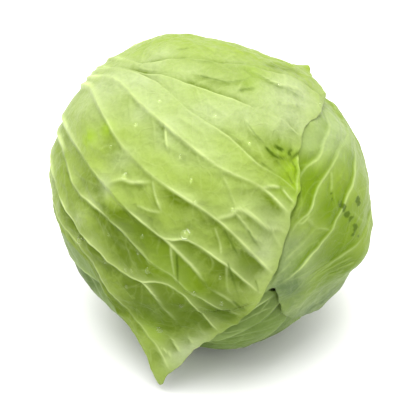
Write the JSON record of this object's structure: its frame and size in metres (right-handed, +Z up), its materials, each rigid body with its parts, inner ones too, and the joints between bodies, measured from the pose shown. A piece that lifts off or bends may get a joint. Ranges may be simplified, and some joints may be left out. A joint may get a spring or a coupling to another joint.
{
  "type": "cabbage",
  "caption": "Round head of green cabbage lying on its side, pale ribbed wrapper leaves laid over one another, the outermost turned down to a point.",
  "frame": {"origin": "on the floor in the middle of the flat spot the head rests on, under the middle of the head", "axes": "+Z up; +X to the right as seen from the front; the front leaf's tip points down at the front left, the cut stalk faces back left"},
  "size_m": [0.1804, 0.1847, 0.172],
  "materials": {
    "inner_leaf": "pale waxy leaf",
    "cut_stalk": "dry cut stalk",
    "shaded_leaf": "waxy leaf",
    "side_leaf": "waxy leaf",
    "outer_leaf": "waxy leaf with pale veins"
  },
  "bodies": {
    "root": {"inner_head": "inner_leaf", "stalk": "cut_stalk", "leaf_back": "shaded_leaf", "leaf_top": "shaded_leaf", "leaf_under": "shaded_leaf", "leaf_right": "side_leaf", "leaf_front": "outer_leaf"}
  },
  "joints": []
}
